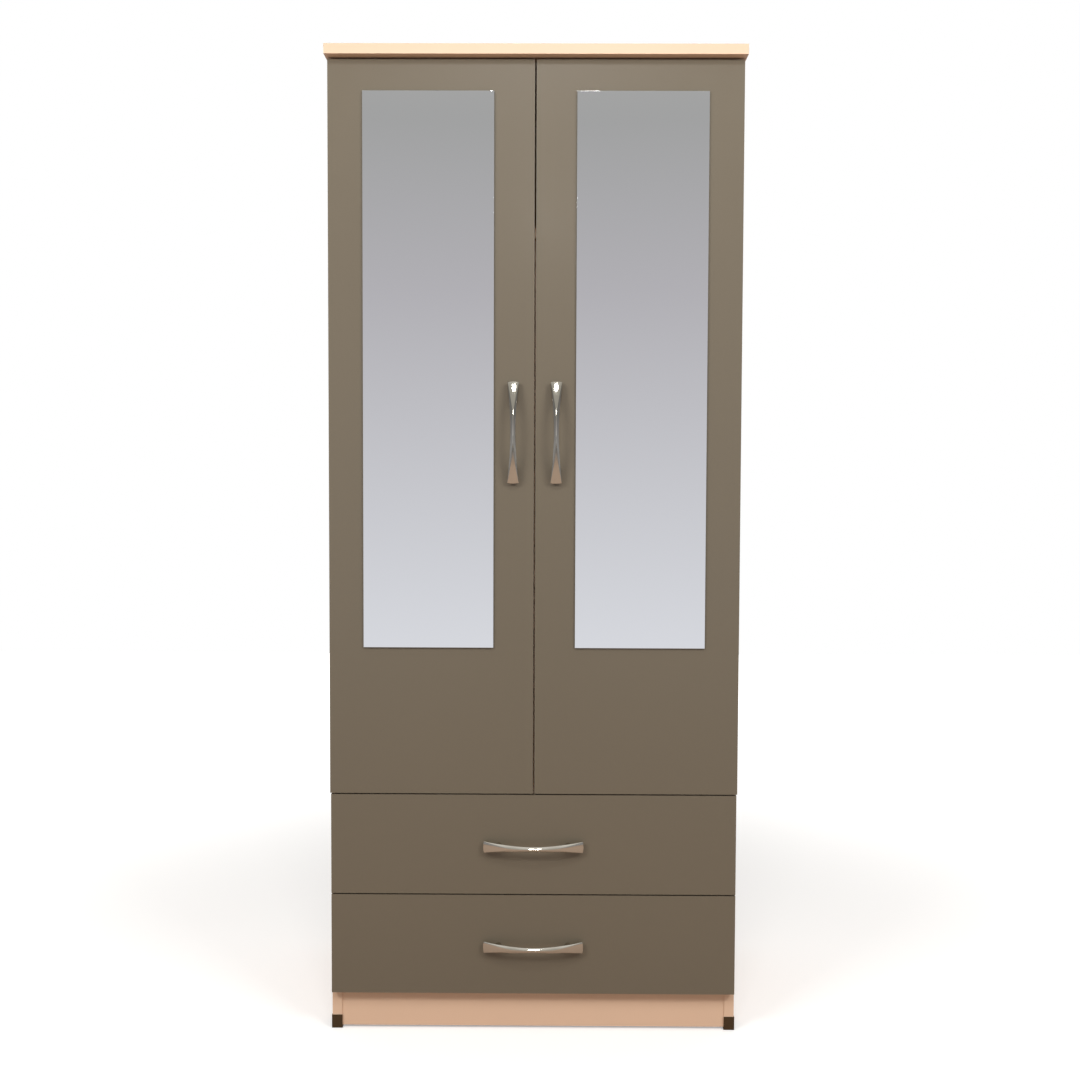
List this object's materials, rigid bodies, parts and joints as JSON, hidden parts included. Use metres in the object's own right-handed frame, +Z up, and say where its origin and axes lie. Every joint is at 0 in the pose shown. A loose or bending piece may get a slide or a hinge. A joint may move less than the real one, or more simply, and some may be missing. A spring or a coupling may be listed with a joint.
{
  "type": "armoire",
  "caption": "Tall two-door armoire with long mirrors on its doors, drawers below, bow handles, a hanging bay and shelves.",
  "frame": {"origin": "on the floor, under the middle of the whole object's box", "axes": "+Z up, -Y out of the front (doors and drawers open towards -Y), +X to the right of someone facing the front"},
  "size_m": [0.756, 0.5, 1.8],
  "materials": {
    "cream_board": "cream melamine-faced board with matching edge strips, satin",
    "taupe_gloss": "grey-brown gloss foil on board",
    "drawer_board": "foil-wrapped drawer board, matt",
    "hardboard": "painted hardboard, matt",
    "mirror_glass": "silvered mirror with polished edges",
    "chrome": "polished chrome plate",
    "zinc_steel": "bright zinc plate",
    "runner_epoxy": "cream epoxy powder coat",
    "nylon": "moulded nylon, natural",
    "foot_plastic": "dark brown moulded plastic",
    "dowel_wood": "bare beech"
  },
  "bodies": {
    "carcass": {"left_side_panel": "cream_board", "right_side_panel": "cream_board", "top_panel": "cream_board", "hat_shelf": "cream_board", "centre_partition": "cream_board", "deck_panel": "cream_board", "base_panel": "cream_board", "plinth_board": "cream_board", "back_panel": "hardboard", "upper_shelf": "cream_board", "middle_shelf": "cream_board", "lower_shelf": "cream_board", "shelf_pins": "zinc_steel", "hanging_rail": "chrome", "rail_sockets": "chrome", "front_foot_caps": "foot_plastic", "rear_foot_caps": "foot_plastic", "cam_locks": "zinc_steel", "cam_bolts": "zinc_steel", "dowels": "dowel_wood", "back_nails": "zinc_steel", "plinth_blocks": "nylon", "carcass_screws": "zinc_steel", "hinge_plates": "zinc_steel", "left_hinge_arms": "zinc_steel", "right_hinge_arms": "zinc_steel", "upper_runners": "runner_epoxy", "lower_runners": "runner_epoxy"},
    "left_link": {"left_hinge_links": "zinc_steel"},
    "right_link": {"right_hinge_links": "zinc_steel"},
    "left_door": {"left_door_panel": "taupe_gloss", "left_mirror": "mirror_glass", "left_door_handle": "chrome", "left_hinge_cups": "zinc_steel", "left_door_screws": "zinc_steel"},
    "right_door": {"right_door_panel": "taupe_gloss", "right_mirror": "mirror_glass", "right_door_handle": "chrome", "right_hinge_cups": "zinc_steel", "right_door_screws": "zinc_steel"},
    "upper_drawer": {"upper_drawer_front": "taupe_gloss", "upper_drawer_left_side": "drawer_board", "upper_drawer_right_side": "drawer_board", "upper_drawer_back": "drawer_board", "upper_drawer_bottom": "hardboard", "upper_drawer_handle": "chrome", "upper_drawer_slides": "runner_epoxy", "upper_drawer_fasteners": "zinc_steel"},
    "lower_drawer": {"lower_drawer_front": "taupe_gloss", "lower_drawer_left_side": "drawer_board", "lower_drawer_right_side": "drawer_board", "lower_drawer_back": "drawer_board", "lower_drawer_bottom": "hardboard", "lower_drawer_handle": "chrome", "lower_drawer_slides": "runner_epoxy", "lower_drawer_fasteners": "zinc_steel"},
    "upper_front_rollers": {"upper_front_rollers": "nylon"},
    "lower_front_rollers": {"lower_front_rollers": "nylon"},
    "upper_rear_rollers": {"upper_rear_rollers": "nylon"},
    "lower_rear_rollers": {"lower_rear_rollers": "nylon"}
  },
  "joints": [
    {"name": "left_door_swing", "type": "hinge", "parent": "left_link", "child": "left_door", "pos_m": [-0.3643, -0.2055, 1.11375], "axis": [0, 0, -1], "range_deg": [0, 142.5]},
    {"name": "left_link_swing", "type": "hinge", "parent": "carcass", "child": "left_link", "pos_m": [-0.34, -0.1955, 1.11375], "axis": [0, 0, -1], "range_deg": [-37.55, 0]},
    {"name": "right_door_swing", "type": "hinge", "parent": "right_link", "child": "right_door", "pos_m": [0.3643, -0.2055, 1.11375], "axis": [0, 0, 1], "range_deg": [0, 142.5]},
    {"name": "right_link_swing", "type": "hinge", "parent": "carcass", "child": "right_link", "pos_m": [0.34, -0.1955, 1.11375], "axis": [0, 0, 1], "range_deg": [-37.55, 0]},
    {"name": "upper_drawer_slide", "type": "slide", "parent": "carcass", "child": "upper_drawer", "axis": [0, -1, 0], "range_m": [0, 0.3]},
    {"name": "lower_drawer_slide", "type": "slide", "parent": "carcass", "child": "lower_drawer", "axis": [0, -1, 0], "range_m": [0, 0.3]},
    {"name": "upper_front_roller_turn", "type": "hinge", "parent": "carcass", "child": "upper_front_rollers", "pos_m": [0, -0.184, 0.3137], "axis": [1, 0, 0], "range_deg": [0, 1432.89]},
    {"name": "upper_rear_roller_turn", "type": "hinge", "parent": "upper_drawer", "child": "upper_rear_rollers", "pos_m": [0, 0.176, 0.3105], "axis": [1, 0, 0], "range_deg": [0, 1432.89]},
    {"name": "lower_front_roller_turn", "type": "hinge", "parent": "carcass", "child": "lower_front_rollers", "pos_m": [0, -0.184, 0.1267], "axis": [1, 0, 0], "range_deg": [0, 1432.89]},
    {"name": "lower_rear_roller_turn", "type": "hinge", "parent": "lower_drawer", "child": "lower_rear_rollers", "pos_m": [0, 0.176, 0.1235], "axis": [1, 0, 0], "range_deg": [0, 1432.89]}
  ],
  "couplings": [
    {"joint": "left_link_swing", "follows": "left_door_swing", "ratio": -0.26316},
    {"joint": "right_link_swing", "follows": "right_door_swing", "ratio": -0.26316},
    {"joint": "upper_front_roller_turn", "follows": "upper_drawer_slide", "rad_per_m": 83.333},
    {"joint": "upper_rear_roller_turn", "follows": "upper_drawer_slide", "rad_per_m": 83.333},
    {"joint": "lower_front_roller_turn", "follows": "lower_drawer_slide", "rad_per_m": 83.333},
    {"joint": "lower_rear_roller_turn", "follows": "lower_drawer_slide", "rad_per_m": 83.333}
  ]
}
